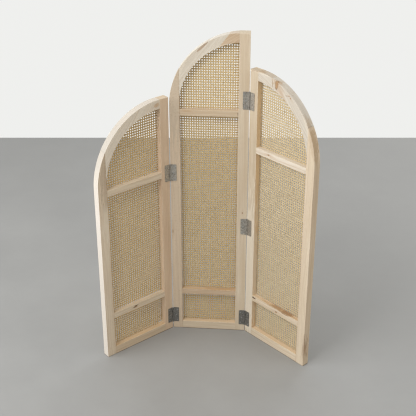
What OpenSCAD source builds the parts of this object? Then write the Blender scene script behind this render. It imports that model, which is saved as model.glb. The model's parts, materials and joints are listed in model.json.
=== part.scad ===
// Folding room divider of three arched panels, each a wooden frame filled with woven cane.
// Sizes are in millimetres. +Z is up and the hollow side of the fold, the front, faces -Y.
// The origin is the middle of the centre panel's underside.

/* [Panels] */
// Width of the centre panel
centre_w = 405; // [380:5:430]
// Width of each wing
wing_w = 446; // [420:2:470]
// Height of the centre panel
centre_h = 1740; // [1640:10:1900]
// Height of the left wing
left_h = 1400; // [1360:10:1500]
// Height of the right wing
right_h = 1560; // [1500:10:1700]
// Thickness of every frame
frame_t = 40; // [38:1:46]

/* [Fold] */
// Angle the left wing is folded forward from flat
left_fold = 44.5; // [0:0.5:100]
// Angle the right wing is folded forward from flat
right_fold = 43; // [0:0.5:100]
// Gap between neighbouring panels when they lie flat
edge_gap = 1.5; // [1:0.1:2]

/* [Frame timber] */
// Width of the stiles
stile_w = 53; // [50:1:56]
// Width of the curved boards
arch_w = 50; // [46:1:54]
// Outer radius of the centre panel's arch
centre_arch_r = 387; // [375:1:390]
// Height of the two cross rails
rail_h = 33; // [28:1:40]
// Height of the bottom rail
bottom_h = 48; // [44:1:60]
// Height of the lower cross rail's underside above the floor
lower_rail_z = 231; // [200:1:280]
// Distance from a panel's top to the top of its upper cross rail
upper_drop = 405; // [400:1:430]

/* [Joinery] */
// Length of the rail tenons
tenon_l = 25; // [18:1:28]
// Thickness of the rail tenons
tenon_t = 10; // [8:1:12]
// Depth from the front face to the tenons
tenon_y = 9; // [8:1:10]
// Step above and below each tenon
shoulder = 4; // [3:1:6]
// Radius of the dowels in the arch joints
dowel_r = 4; // [3:0.5:4]
// Length of the dowels
dowel_l = 36; // [30:1:36]

/* [Cane] */
// Depth from the front face to the cane
cane_y = 28; // [26:1:29]
// Thickness of the woven cane
cane_t = 1.5; // [1:0.1:2]
// Width of the rebate and of the beads that hold the cane in it
rebate_w = 10; // [8:1:12]
// Thickness of the beads
bead_t = 9; // [6:0.5:9]

/* [Hinges] */
// Height of a hinge
hinge_h = 95; // [80:5:100]
// Reach of a leaf across the face of its stile
leaf_w = 32; // [30:1:38]
// Thickness of the leaves
leaf_t = 1.8; // [1.5:0.1:2]
// Outer radius of the knuckles
knuckle_r = 3.5; // [3.2:0.1:3.6]
// Radius of the hinge pin
pin_r = 2.05; // [1.8:0.05:2.1]
// Height of the middle of each bottom hinge
low_hinge_z = 90; // [70:5:110]
// Height of the middle of the left joint's upper hinge
left_hinge_z = 981; // [900:1:1050]
// Height of the middle of the right joint's middle hinge
mid_hinge_z = 675; // [600:1:760]
// Height of the middle of the right joint's upper hinge
right_hinge_z = 1393; // [1350:1:1440]

/* [Hidden] */
$fn = 96;
wing_arch_r = wing_w - stile_w;
// Panel sizes as [width, height, outer radius of the arch]
CENTRE = [centre_w, centre_h, centre_arch_r];
LEFT = [wing_w, left_h, wing_arch_r];
RIGHT = [wing_w, right_h, wing_arch_r];
// Scarf between the head block and the curved board: its X at the top and one board width down
CENTRE_SCARF = [96, 134];
LEFT_SCARF = [96, 88];
RIGHT_SCARF = [142, 150];
half_gap = edge_gap / 2;
pin_y = -(knuckle_r + 0.3);
pin_clear = 0.05;
dowel_clear = 0.05;
dowel_depths = [9, 21];
knuckles = 5;
knuckle_gap = 0.3;
knuckle_h = hinge_h / knuckles;
leaf_corner = 5;
leaf_root = 1;
screw_pos = [[23, -34], [17, 0], [23, 34]];
screw_l = 19;
screw_r = 1.75;
screw_head_r = 3.5;
brad = [1.2, 1];
brad_l = 15;
staple_crown = 10;
staple_wire = 0.9;
staple_leg = 8;
staples_per_rail = 6;
LEFT_HINGES = [low_hinge_z, left_hinge_z];
RIGHT_HINGES = [low_hinge_z, mid_hinge_z, right_hinge_z];
WOOD = [0.82, 0.74, 0.6];
PALE = [0.87, 0.8, 0.68];
CANE = [0.8, 0.68, 0.46];
STEEL = [0.6, 0.61, 0.62];

// Panel space: X from the outer edge of the tall stile, Y back from the front face, Z up.
function arch_x(p) = p[0] - p[2];
function arch_z(p) = p[1] - sqrt(pow(p[2], 2) - pow(stile_w - arch_x(p), 2));
function inner_r(p) = p[2] - arch_w;
function mean_r(p) = p[2] - arch_w / 2;
function on_arch(p, r, x) = arch_z(p) + sqrt(pow(r, 2) - pow(x - arch_x(p), 2));
function far_edge(p) = p[0] - stile_w;
function upper_rail_z(p) = p[1] - upper_drop - rail_h;
function rail_spans(p) = [[0, bottom_h], [lower_rail_z, rail_h], [upper_rail_z(p), rail_h]];
function dowel_xs(p, scarf) = [stile_w, (scarf[0] + scarf[1]) / 2, far_edge(p)];

module at_centre() {
    translate([centre_w / 2, -frame_t / 2, 0])
        mirror([1, 0, 0])
            children();
}

module at_wing(fold) {
    translate([centre_w / 2 + half_gap, -frame_t / 2 + pin_y, 0])
        rotate([0, 0, -fold])
            translate([half_gap, -pin_y, 0])
                children();
}

module at_right() {
    at_wing(right_fold)
        children();
}

module at_left() {
    mirror([1, 0, 0])
        at_wing(left_fold)
            children();
}

// Carries a shape from the tall stile's edge to the arched stile's edge.
module at_far_side(p) {
    translate([p[0], 0, 0])
        mirror([1, 0, 0])
            children();
}

// Turns an outline drawn in X and Z into a board between two depths.
module board(y0, y1) {
    translate([0, y1, 0])
        rotate([90, 0, 0])
            linear_extrude(y1 - y0)
                children();
}

module disc(p, r) {
    translate([arch_x(p), arch_z(p)])
        circle(r = r);
}

module below_arch(p, r) {
    translate([-p[0], -p[1]])
        square([3 * p[0], arch_z(p) + p[1]]);
    disc(p, r);
}

// The opening of a frame, grown by a margin on every side.
module opening(p, grow = 0) {
    intersection() {
        translate([stile_w - grow, bottom_h - grow])
            square([p[0] - 2 * stile_w + 2 * grow, p[1]]);
        below_arch(p, inner_r(p) + grow);
    }
}

module rebate(p) {
    board(cane_y, frame_t + 1)
        opening(p, rebate_w);
}

module tenons(p, span) {
    translate([stile_w - tenon_l, tenon_y, span[0] + shoulder])
        cube([p[0] - 2 * stile_w + 2 * tenon_l, tenon_t, span[1] - 2 * shoulder]);
}

module dowel(p, x, y, r, l) {
    translate([x - l / 2, y, on_arch(p, mean_r(p), x)])
        rotate([0, 90, 0])
            cylinder(r = r, h = l);
}

module dowel_bores(p, scarf) {
    for (x = dowel_xs(p, scarf), y = dowel_depths)
        dowel(p, x, y, dowel_r + dowel_clear, dowel_l + 1);
}

module dowels(p, scarf) {
    color(WOOD)
        for (x = dowel_xs(p, scarf), y = dowel_depths)
            dowel(p, x, y, dowel_r, dowel_l);
}

module tall_stile(p, scarf) {
    color(WOOD)
        difference() {
            cube([stile_w, frame_t, p[1]]);
            rebate(p);
            for (span = rail_spans(p))
                tenons(p, span);
            dowel_bores(p, scarf);
        }
}

module arched_stile(p, scarf) {
    color(WOOD)
        difference() {
            board(0, frame_t)
                intersection() {
                    translate([far_edge(p), 0])
                        square([stile_w, p[1]]);
                    below_arch(p, p[2]);
                }
            rebate(p);
            for (span = rail_spans(p))
                tenons(p, span);
            dowel_bores(p, scarf);
        }
}

module head_outline(p, scarf) {
    slope = (scarf[1] - scarf[0]) / arch_w;
    polygon([
        [stile_w, p[1] - 2 * arch_w],
        [scarf[0] + 2 * arch_w * slope, p[1] - 2 * arch_w],
        [scarf[0] - arch_w * slope, p[1] + arch_w],
        [stile_w, p[1] + arch_w]
    ]);
}

module arch_outline(p) {
    difference() {
        intersection() {
            disc(p, p[2]);
            translate([stile_w, arch_z(p)])
                square([p[0] - 2 * stile_w, p[2] + 1]);
        }
        disc(p, inner_r(p));
    }
}

module arch_board(p, scarf) {
    color(PALE)
        difference() {
            board(0, frame_t)
                difference() {
                    arch_outline(p);
                    head_outline(p, scarf);
                }
            rebate(p);
            dowel_bores(p, scarf);
        }
}

module head_block(p, scarf) {
    color(WOOD)
        difference() {
            board(0, frame_t)
                intersection() {
                    arch_outline(p);
                    head_outline(p, scarf);
                }
            rebate(p);
            dowel_bores(p, scarf);
        }
}

module cross_rail(p, z) {
    color(PALE) {
        translate([stile_w, 0, z])
            cube([p[0] - 2 * stile_w, cane_y, rail_h]);
        tenons(p, [z, rail_h]);
    }
}

module bottom_rail(p) {
    color(WOOD)
        difference() {
            union() {
                translate([stile_w, 0, 0])
                    cube([p[0] - 2 * stile_w, frame_t, bottom_h]);
                tenons(p, [0, bottom_h]);
            }
            rebate(p);
        }
}

module cane(p) {
    color(CANE)
        board(cane_y, cane_y + cane_t)
            opening(p, rebate_w - 0.5);
}

module bead_board() {
    color(PALE)
        board(cane_y + cane_t, cane_y + cane_t + bead_t)
            children();
}

module side_bead_outline(p, top) {
    translate([0, bottom_h - rebate_w])
        square([rebate_w - 0.3, top - bottom_h + rebate_w]);
}

module tall_bead(p) {
    bead_board()
        intersection() {
            translate([stile_w - rebate_w, 0])
                side_bead_outline(p, p[1]);
            below_arch(p, inner_r(p));
        }
}

module arched_bead(p) {
    bead_board()
        intersection() {
            translate([far_edge(p) + 0.3, 0])
                side_bead_outline(p, on_arch(p, inner_r(p), far_edge(p)));
            below_arch(p, inner_r(p) + rebate_w);
        }
}

module curved_bead(p) {
    z0 = on_arch(p, inner_r(p), far_edge(p));
    bead_board()
        difference() {
            intersection() {
                disc(p, inner_r(p) + rebate_w);
                translate([stile_w - rebate_w, z0])
                    square([p[0] - 2 * stile_w + 2 * rebate_w, p[1]]);
            }
            disc(p, inner_r(p) + 0.3);
        }
}

module bottom_bead(p) {
    bead_board()
        translate([stile_w, bottom_h - rebate_w])
            square([p[0] - 2 * stile_w, rebate_w - 0.3]);
}

module brad_at(x, z) {
    translate([x - brad[0] / 2, cane_y + cane_t + bead_t - brad_l, z - brad[1] / 2])
        cube([brad[0], brad_l, brad[1]]);
}

module brads(p) {
    mid = rebate_w / 2;
    low = bottom_h + 40;
    tall_step = (p[1] - arch_w - 40 - low) / 6;
    short_step = (arch_z(p) - low) / 4;
    color(STEEL) {
        for (i = [0:6])
            brad_at(stile_w - mid, low + i * tall_step);
        for (i = [0:4])
            brad_at(far_edge(p) + mid, low + i * short_step);
        for (x = [0.25, 0.75])
            brad_at(stile_w + x * (p[0] - 2 * stile_w), bottom_h - mid);
        for (x = [0.2, 0.5, 0.8])
            brad_at(
                stile_w + x * (p[0] - 2 * stile_w),
                on_arch(p, inner_r(p) + mid, stile_w + x * (p[0] - 2 * stile_w))
            );
    }
}

module staple_at(x, z) {
    back = cane_y + cane_t;
    half = (staple_crown - staple_wire) / 2;
    translate([x - staple_crown / 2, back, z])
        cube([staple_crown, staple_wire, staple_wire]);
    for (s = [-half, half])
        translate([x + s - staple_wire / 2, back - staple_leg, z])
            cube([staple_wire, staple_leg + staple_wire, staple_wire]);
}

module staples(p) {
    step = (p[0] - 2 * stile_w) / staples_per_rail;
    color(STEEL)
        for (z = [lower_rail_z, upper_rail_z(p)], i = [0:staples_per_rail - 1])
            staple_at(stile_w + (i + 0.5) * step, z + rail_h / 2);
}

module leaf_outline() {
    translate([leaf_root, 0])
        square([leaf_w - leaf_root - leaf_corner, hinge_h]);
    translate([leaf_w - leaf_corner, leaf_corner])
        square([leaf_corner, hinge_h - 2 * leaf_corner]);
    for (z = [leaf_corner, hinge_h - leaf_corner])
        translate([leaf_w - leaf_corner, z])
            circle(r = leaf_corner);
}

module screw_hole() {
    rotate([-90, 0, 0]) {
        translate([0, 0, -leaf_t - 1])
            cylinder(r = screw_r + 0.1, h = leaf_t + 2);
        translate([0, 0, -leaf_t])
            cylinder(r1 = screw_head_r + 0.1, r2 = screw_r + 0.1, h = leaf_t);
    }
}

// A hinge leaf with the knuckles whose numbers are given; the other knuckles are notched out.
module hinge_leaf(z, own, other) {
    color(STEEL)
        translate([0, 0, z - hinge_h / 2])
            difference() {
                union() {
                    board(-leaf_t, 0)
                        leaf_outline();
                    for (k = own)
                        translate([-half_gap, pin_y, k * knuckle_h + knuckle_gap / 2])
                            cylinder(r = knuckle_r, h = knuckle_h - knuckle_gap);
                }
                for (k = other)
                    translate([0, -leaf_t - 1, k * knuckle_h - knuckle_gap / 2])
                        cube([knuckle_r, leaf_t + 2, knuckle_h + knuckle_gap]);
                translate([-half_gap, pin_y, -1])
                    cylinder(r = pin_r + pin_clear, h = hinge_h + 2);
                for (s = screw_pos)
                    translate([s[0], 0, hinge_h / 2 + s[1]])
                        screw_hole();
            }
}

module centre_leaf(z) {
    hinge_leaf(z, [0, 2, 4], [1, 3]);
}

module wing_leaf(z) {
    hinge_leaf(z, [1, 3], [0, 2, 4]);
}

module hinge_pin(z) {
    color(STEEL)
        translate([-half_gap, pin_y, z])
            rotate_extrude()
                polygon([
                    [0, -hinge_h / 2 - 2], [2.2, -hinge_h / 2 - 2],
                    [3.1, -hinge_h / 2 - 1.2], [3.1, -hinge_h / 2],
                    [pin_r, -hinge_h / 2], [pin_r, hinge_h / 2],
                    [3.1, hinge_h / 2], [3.1, hinge_h / 2 + 1.2],
                    [2.2, hinge_h / 2 + 2], [0, hinge_h / 2 + 2]
                ]);
}

module screw() {
    rotate([-90, 0, 0])
        difference() {
            rotate_extrude()
                polygon([
                    [0, -leaf_t], [screw_head_r, -leaf_t], [screw_r, -0.1],
                    [screw_r, screw_l - 5], [0, screw_l]
                ]);
            for (a = [0, 90])
                rotate([0, 0, a])
                    translate([-1.9, -0.4, -leaf_t - 1])
                        cube([3.8, 0.8, 2]);
        }
}

module screws(hinges) {
    color(STEEL)
        for (z = hinges, s = screw_pos)
            translate([s[0], 0, z + s[1]])
                screw();
}

module centre_tall_stile() { at_centre() tall_stile(CENTRE, CENTRE_SCARF); }
module centre_arched_stile() { at_centre() arched_stile(CENTRE, CENTRE_SCARF); }
module centre_arch_board() { at_centre() arch_board(CENTRE, CENTRE_SCARF); }
module centre_head_block() { at_centre() head_block(CENTRE, CENTRE_SCARF); }
module centre_upper_rail() { at_centre() cross_rail(CENTRE, upper_rail_z(CENTRE)); }
module centre_lower_rail() { at_centre() cross_rail(CENTRE, lower_rail_z); }
module centre_bottom_rail() { at_centre() bottom_rail(CENTRE); }
module centre_cane() { at_centre() cane(CENTRE); }
module centre_tall_bead() { at_centre() tall_bead(CENTRE); }
module centre_arched_bead() { at_centre() arched_bead(CENTRE); }
module centre_curved_bead() { at_centre() curved_bead(CENTRE); }
module centre_bottom_bead() { at_centre() bottom_bead(CENTRE); }
module centre_dowels() { at_centre() dowels(CENTRE, CENTRE_SCARF); }
module centre_brads() { at_centre() brads(CENTRE); }
module centre_staples() { at_centre() staples(CENTRE); }

module left_tall_stile() { at_left() tall_stile(LEFT, LEFT_SCARF); }
module left_arched_stile() { at_left() arched_stile(LEFT, LEFT_SCARF); }
module left_arch_board() { at_left() arch_board(LEFT, LEFT_SCARF); }
module left_head_block() { at_left() head_block(LEFT, LEFT_SCARF); }
module left_upper_rail() { at_left() cross_rail(LEFT, upper_rail_z(LEFT)); }
module left_lower_rail() { at_left() cross_rail(LEFT, lower_rail_z); }
module left_bottom_rail() { at_left() bottom_rail(LEFT); }
module left_cane() { at_left() cane(LEFT); }
module left_tall_bead() { at_left() tall_bead(LEFT); }
module left_arched_bead() { at_left() arched_bead(LEFT); }
module left_curved_bead() { at_left() curved_bead(LEFT); }
module left_bottom_bead() { at_left() bottom_bead(LEFT); }
module left_dowels() { at_left() dowels(LEFT, LEFT_SCARF); }
module left_brads() { at_left() brads(LEFT); }
module left_staples() { at_left() staples(LEFT); }

module right_tall_stile() { at_right() tall_stile(RIGHT, RIGHT_SCARF); }
module right_arched_stile() { at_right() arched_stile(RIGHT, RIGHT_SCARF); }
module right_arch_board() { at_right() arch_board(RIGHT, RIGHT_SCARF); }
module right_head_block() { at_right() head_block(RIGHT, RIGHT_SCARF); }
module right_upper_rail() { at_right() cross_rail(RIGHT, upper_rail_z(RIGHT)); }
module right_lower_rail() { at_right() cross_rail(RIGHT, lower_rail_z); }
module right_bottom_rail() { at_right() bottom_rail(RIGHT); }
module right_cane() { at_right() cane(RIGHT); }
module right_tall_bead() { at_right() tall_bead(RIGHT); }
module right_arched_bead() { at_right() arched_bead(RIGHT); }
module right_curved_bead() { at_right() curved_bead(RIGHT); }
module right_bottom_bead() { at_right() bottom_bead(RIGHT); }
module right_dowels() { at_right() dowels(RIGHT, RIGHT_SCARF); }
module right_brads() { at_right() brads(RIGHT); }
module right_staples() { at_right() staples(RIGHT); }

module left_joint_low_centre_leaf() { at_centre() at_far_side(CENTRE) centre_leaf(low_hinge_z); }
module left_joint_low_wing_leaf() { at_left() wing_leaf(low_hinge_z); }
module left_joint_top_centre_leaf() { at_centre() at_far_side(CENTRE) centre_leaf(left_hinge_z); }
module left_joint_top_wing_leaf() { at_left() wing_leaf(left_hinge_z); }
module left_joint_pins() { at_centre() at_far_side(CENTRE) for (z = LEFT_HINGES) hinge_pin(z); }
module right_joint_low_centre_leaf() { at_centre() centre_leaf(low_hinge_z); }
module right_joint_low_wing_leaf() { at_right() wing_leaf(low_hinge_z); }
module right_joint_mid_centre_leaf() { at_centre() centre_leaf(mid_hinge_z); }
module right_joint_mid_wing_leaf() { at_right() wing_leaf(mid_hinge_z); }
module right_joint_top_centre_leaf() { at_centre() centre_leaf(right_hinge_z); }
module right_joint_top_wing_leaf() { at_right() wing_leaf(right_hinge_z); }
module right_joint_pins() { at_centre() for (z = RIGHT_HINGES) hinge_pin(z); }
module centre_screws() {
    at_centre() {
        screws(RIGHT_HINGES);
        at_far_side(CENTRE)
            screws(LEFT_HINGES);
    }
}
module left_screws() { at_left() screws(LEFT_HINGES); }
module right_screws() { at_right() screws(RIGHT_HINGES); }

centre_tall_stile();
centre_arched_stile();
centre_arch_board();
centre_head_block();
centre_upper_rail();
centre_lower_rail();
centre_bottom_rail();
centre_cane();
centre_tall_bead();
centre_arched_bead();
centre_curved_bead();
centre_bottom_bead();
centre_dowels();
centre_brads();
centre_staples();
left_tall_stile();
left_arched_stile();
left_arch_board();
left_head_block();
left_upper_rail();
left_lower_rail();
left_bottom_rail();
left_cane();
left_tall_bead();
left_arched_bead();
left_curved_bead();
left_bottom_bead();
left_dowels();
left_brads();
left_staples();
right_tall_stile();
right_arched_stile();
right_arch_board();
right_head_block();
right_upper_rail();
right_lower_rail();
right_bottom_rail();
right_cane();
right_tall_bead();
right_arched_bead();
right_curved_bead();
right_bottom_bead();
right_dowels();
right_brads();
right_staples();
left_joint_low_centre_leaf();
left_joint_low_wing_leaf();
left_joint_top_centre_leaf();
left_joint_top_wing_leaf();
left_joint_pins();
right_joint_low_centre_leaf();
right_joint_low_wing_leaf();
right_joint_mid_centre_leaf();
right_joint_mid_wing_leaf();
right_joint_top_centre_leaf();
right_joint_top_wing_leaf();
right_joint_pins();
centre_screws();
left_screws();
right_screws();
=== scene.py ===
"""A folding room divider of three arched pine panels filled with woven cane, in a plain studio."""

import json
import math

import bpy
import numpy as np
from mathutils import Matrix, Vector
from mathutils.geometry import convex_hull_2d


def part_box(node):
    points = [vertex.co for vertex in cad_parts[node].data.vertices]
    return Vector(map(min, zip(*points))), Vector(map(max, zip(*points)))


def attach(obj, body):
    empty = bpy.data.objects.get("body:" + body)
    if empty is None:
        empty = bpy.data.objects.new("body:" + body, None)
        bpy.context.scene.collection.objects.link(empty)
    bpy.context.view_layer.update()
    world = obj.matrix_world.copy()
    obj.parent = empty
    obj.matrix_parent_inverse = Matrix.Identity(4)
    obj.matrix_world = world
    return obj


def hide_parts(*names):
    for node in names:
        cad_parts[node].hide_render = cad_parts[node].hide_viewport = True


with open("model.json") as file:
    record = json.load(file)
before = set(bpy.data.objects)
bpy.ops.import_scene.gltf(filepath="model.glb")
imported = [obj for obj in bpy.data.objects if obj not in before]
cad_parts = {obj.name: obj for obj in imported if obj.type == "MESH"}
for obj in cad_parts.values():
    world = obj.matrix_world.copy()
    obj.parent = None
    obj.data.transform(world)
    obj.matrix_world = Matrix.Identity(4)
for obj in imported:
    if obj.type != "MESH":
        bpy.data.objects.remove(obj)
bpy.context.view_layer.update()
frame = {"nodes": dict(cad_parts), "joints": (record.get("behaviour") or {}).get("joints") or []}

MM = 0.001
ARCH_W = 50 * MM
RNG = np.random.default_rng(7)
NODES = frame["nodes"]


# ---------------------------------------------------------------- panels


def turned(fold, mirrored):
    """A wing's own X and Y directions: X away from the hinge, Y back from the front face."""
    side = -1 if mirrored else 1
    along = Vector((side * math.cos(fold), -math.sin(fold), 0))
    back = Vector((side * math.sin(fold), math.cos(fold), 0))
    return along, back


class Panel:
    """One panel, with its own space: X from the tall stile's outer edge, Y back, Z up."""

    def __init__(self, name, along, back, origin, mirrored):
        self.name = name
        self.mirrored = mirrored
        axes = Matrix((along, back, (0, 0, 1))).transposed().to_4x4()
        self.to_world = Matrix.Translation(origin) @ axes
        self.from_world = self.to_world.inverted()
        stile, far = self.span("tall_stile"), self.span("arched_stile")
        self.stile_w = stile[1].x
        self.depth = stile[1].y
        self.height = stile[1].z
        self.width = far[1].x
        self.far_edge = far[0].x
        self.bottom_h = self.span("bottom_rail")[1].z
        self.arch_x, self.arch_z, self.arch_r = self.arch()
        self.inner_r = self.arch_r - ARCH_W

    def points(self, part):
        """The corners of one of the panel's CAD nodes, in the panel's space."""
        return [self.from_world @ v.co for v in NODES[f"{self.name}_{part}"].data.vertices]

    def span(self, part):
        """The lowest and highest corners of a node, in the panel's space."""
        found = np.array(self.points(part))
        return Vector(found.min(0)), Vector(found.max(0))

    def arch(self):
        """Centre and outer radius of the arch, from three points on the outer curve."""
        board = self.span("arch_board")
        rim = [p for p in self.points("arch_board") if p.y < MM]
        top = max(rim, key=lambda p: p.z)
        low = max(rim, key=lambda p: p.x)
        mid = max(rim, key=lambda p: (p.x - board[0].x) + (p.z - board[0].z))
        chords = ((top, mid), (mid, low))
        rows = [(2 * (b.x - a.x), 2 * (b.z - a.z)) for a, b in chords]
        sums = [b.x**2 - a.x**2 + b.z**2 - a.z**2 for a, b in chords]
        x, z = np.linalg.solve(rows, sums)
        return x, z, math.hypot(top.x - x, top.z - z)


def make_panels():
    """The centre panel, and the two wings about the hinge pins at rest."""
    low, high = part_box("centre_tall_stile")
    joints = {j["child"]: j for j in frame["joints"]}
    edge = Vector((high.x, low.y, 0))
    panels = [Panel("centre", Vector((-1, 0, 0)), Vector((0, 1, 0)), edge, True)]
    for name, mirrored in (("left", True), ("right", False)):
        pin = Vector(joints[name]["pos_m"])
        fold = math.radians(-joints[name]["range_deg"][0])
        along, back = turned(fold, mirrored)
        gap = abs(pin.x) - edge.x
        origin = Vector((pin.x, pin.y, 0)) + gap * along + (edge.y - pin.y) * back
        panels.append(Panel(name, along, back, origin, mirrored))
    return panels


PANELS = make_panels()


# ---------------------------------------------------------------- node tree helpers


def add(tree, kind, inputs=None, **settings):
    """Adds a node. An input is a value or another node's output."""
    made = tree.nodes.new(kind)
    for key, value in settings.items():
        setattr(made, key, value)
    for key, value in (inputs or {}).items():
        if isinstance(value, bpy.types.NodeSocket):
            tree.links.new(value, made.inputs[key])
        else:
            made.inputs[key].default_value = value
    return made


def math_node(tree, operation, *values):
    return add(tree, "ShaderNodeMath", dict(enumerate(values)), operation=operation).outputs[0]


def vector_node(tree, operation, *values, output="Vector"):
    made = add(tree, "ShaderNodeVectorMath", dict(enumerate(values)), operation=operation)
    return made.outputs[output]


def scaled(tree, vector, factor):
    """A vector or colour times a number."""
    made = add(tree, "ShaderNodeVectorMath", {0: vector, "Scale": factor}, operation="SCALE")
    return made.outputs["Vector"]


def noise(tree, vector, scale, detail=2.0, roughness=0.5):
    """A noise texture; scale is one number or one for each axis, in waves a metre."""
    if not isinstance(scale, (int, float)):
        vector = vector_node(tree, "MULTIPLY", vector, scale)
        scale = 1.0
    inputs = {"Vector": vector, "Scale": scale, "Detail": detail, "Roughness": roughness}
    return add(tree, "ShaderNodeTexNoise", inputs).outputs["Fac"]


def remap(tree, value, low, high, to_low=0.0, to_high=1.0, smooth=True):
    """Takes the range from low to high to another range, and holds its ends beyond it."""
    inputs = {0: value, 1: low, 2: high, 3: to_low, 4: to_high}
    kind = "SMOOTHSTEP" if smooth else "LINEAR"
    return add(tree, "ShaderNodeMapRange", inputs, interpolation_type=kind).outputs[0]


def jitter(tree, value, wave, size):
    """A value shifted by up to size either way, as a noise wanders."""
    return math_node(tree, "ADD", value, remap(tree, wave, 0.3, 0.7, -size, size))


def ramp(tree, value, stops):
    """A colour for each value, from stops of a place and a colour."""
    made = add(tree, "ShaderNodeValToRGB", {0: value})
    elements = made.color_ramp.elements
    while len(elements) < len(stops):
        elements.new(0.5)
    for element, (place, colour) in zip(elements, stops):
        element.position = place
        element.color = (*colour, 1)
    return made.outputs[0]


def blend(tree, factor, first, second):
    """The first colour at a factor of 0, and the second at 1."""
    made = add(tree, "ShaderNodeMix", data_type="RGBA")
    for place, value in ((0, factor), (6, first), (7, second)):
        if isinstance(value, bpy.types.NodeSocket):
            tree.links.new(value, made.inputs[place])
        else:
            made.inputs[place].default_value = value if place == 0 else (*value, 1)
    return made.outputs[2]


def srgb(red, green, blue):
    """A linear colour from display values of 0 to 255."""
    return tuple(
        c / 12.92 if c <= 0.04045 else ((c + 0.055) / 1.055) ** 2.4
        for c in (red / 255, green / 255, blue / 255)
    )


def new_material(name):
    material = bpy.data.materials.new(name)
    material.use_nodes = True
    tree = material.node_tree
    return material, tree, tree.nodes["Principled BSDF"]


def wire(tree, shader, colour, roughness, height, distance, strength=1.0):
    """Joins colour, roughness and a bump of the given depth to the shader."""
    inputs = {"Height": height, "Distance": distance, "Strength": strength}
    bump = add(tree, "ShaderNodeBump", inputs)
    tree.links.new(colour, shader.inputs["Base Color"])
    tree.links.new(roughness, shader.inputs["Roughness"])
    tree.links.new(bump.outputs[0], shader.inputs["Normal"])


# ---------------------------------------------------------------- timber


def make_group(name, inputs, outputs, kind="Shader"):
    """An empty node group, with the sockets that it is given and those of its result."""
    group = bpy.data.node_groups.new(name, f"{kind}NodeTree")
    for way, sockets in (("INPUT", inputs), ("OUTPUT", outputs)):
        for label, holds in sockets:
            group.interface.new_socket(label, in_out=way, socket_type="NodeSocket" + holds)
    start = group.nodes.new("NodeGroupInput")
    end = group.nodes.new("NodeGroupOutput")
    return group, start.outputs, end.inputs


RING_GAP = 5.0 * MM
RING_SWAY = 5.0 * MM
YEAR_WAVES = 0.35
YEAR_SPREAD = 2.2


def grain_group():
    """Growth rings round a pith line, streaks and fibres, in a board's own space."""
    group, given, result = make_group(
        "pine_grain",
        [("Vector", "Vector"), ("Pith", "Vector"), ("Seed", "Float"), ("Warp", "Float")],
        [("Late", "Float"), ("Streak", "Float"), ("Blotch", "Float"), ("Fibre", "Float")],
    )
    shift = scaled(group, (0.71, 0.37, 0.53), given["Seed"])
    place = vector_node(group, "ADD", given["Vector"], shift)
    parts = add(group, "ShaderNodeSeparateXYZ", {0: given["Vector"]}).outputs
    pith = add(group, "ShaderNodeSeparateXYZ", {0: given["Pith"]}).outputs
    sway = noise(group, place, (2.2, 14, 14), 2)
    sway = remap(group, sway, 0.3, 0.7, -RING_SWAY, RING_SWAY, smooth=False)
    drift = math_node(group, "MULTIPLY", parts[0], pith[0])
    across = math_node(group, "SUBTRACT", parts[2], pith[2])
    across = math_node(group, "ADD", across, drift)
    deep = math_node(group, "SUBTRACT", parts[1], pith[1])
    spot = add(group, "ShaderNodeCombineXYZ", {0: across, 1: deep}).outputs[0]
    radius = vector_node(group, "LENGTH", spot, output="Value")
    radius = math_node(group, "ADD", radius, sway)
    radius = math_node(group, "ADD", radius, given["Warp"])
    phase = math_node(group, "DIVIDE", radius, RING_GAP)
    inputs = {"W": phase, "Scale": YEAR_WAVES, "Detail": 1.0}
    year = add(group, "ShaderNodeTexNoise", inputs, noise_dimensions="1D").outputs[0]
    phase = math_node(group, "ADD", phase, math_node(group, "MULTIPLY", year, YEAR_SPREAD))
    turn = math_node(group, "FRACT", phase)
    rise = remap(group, turn, 0.25, 0.86)
    fall = remap(group, turn, 0.9, 1.0, 1.0, 0.0)
    late = math_node(group, "MULTIPLY", rise, fall)
    strength = noise(group, place, (1.5, 30, 30), 2)
    late = math_node(group, "MULTIPLY", late, remap(group, strength, 0.25, 0.75, 0.25, 1.0))
    group.links.new(late, result["Late"])
    group.links.new(noise(group, place, (3, 75, 75), 4, 0.6), result["Streak"])
    group.links.new(noise(group, place, (5, 16, 16), 3, 0.55), result["Blotch"])
    group.links.new(noise(group, place, (60, 1500, 1500), 3, 0.6), result["Fibre"])
    return group


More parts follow.
